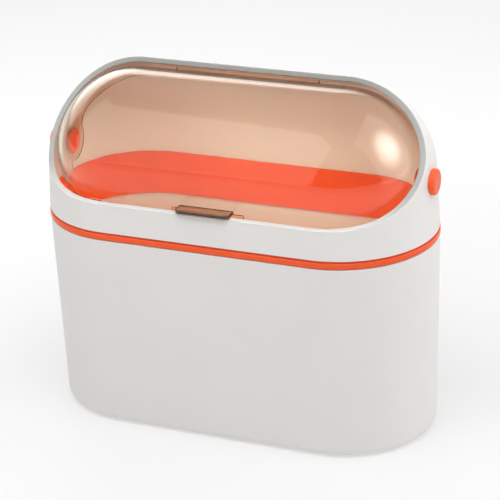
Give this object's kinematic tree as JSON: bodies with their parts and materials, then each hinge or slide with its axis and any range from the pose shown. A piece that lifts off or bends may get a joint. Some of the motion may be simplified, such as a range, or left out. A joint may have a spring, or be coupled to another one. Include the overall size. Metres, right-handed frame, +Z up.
{
  "type": "biohazard waste bin",
  "caption": "Table-top waste bin: tapered bucket with round ends, bag ring, and a hood with a clear lid that rolls back on two pivot pins.",
  "frame": {"origin": "on the ground under the middle of the bin", "axes": "+X along the bin's length, -Y its front with the finger tab, +Z up"},
  "size_m": [0.2426, 0.1135, 0.2095],
  "materials": {
    "white_plastic": "fine satin moulded plastic",
    "orange_plastic": "satin orange moulded plastic",
    "amber_clear": "polished clear amber plastic",
    "brown_clear": "polished smoky brown plastic",
    "grey_rubber": "matt soft rubber"
  },
  "bodies": {
    "base": {"bucket": "white_plastic", "foot_front_left": "grey_rubber", "foot_front_right": "grey_rubber", "foot_rear_left": "grey_rubber", "foot_rear_right": "grey_rubber"},
    "ring": {"bag_ring": "orange_plastic"},
    "hood": {"hood": "white_plastic", "pivot_pin_left": "orange_plastic", "pivot_pin_right": "orange_plastic", "pivot_retainer_left": "orange_plastic", "pivot_retainer_right": "orange_plastic"},
    "lid": {"lid": "amber_clear", "lid_handle": "brown_clear"}
  },
  "joints": [
    {"name": "ring_lift", "type": "slide", "parent": "base", "child": "ring", "axis": [0, 0, 1], "range_m": [0, 0.06]},
    {"name": "hood_lift", "type": "slide", "parent": "ring", "child": "hood", "axis": [0, 0, 1], "range_m": [0, 0.06]},
    {"name": "lid_hinge", "type": "hinge", "parent": "hood", "child": "lid", "pos_m": [0, 0, 0.1572], "axis": [-1, 0, 0], "range_deg": [0, 112]}
  ]
}
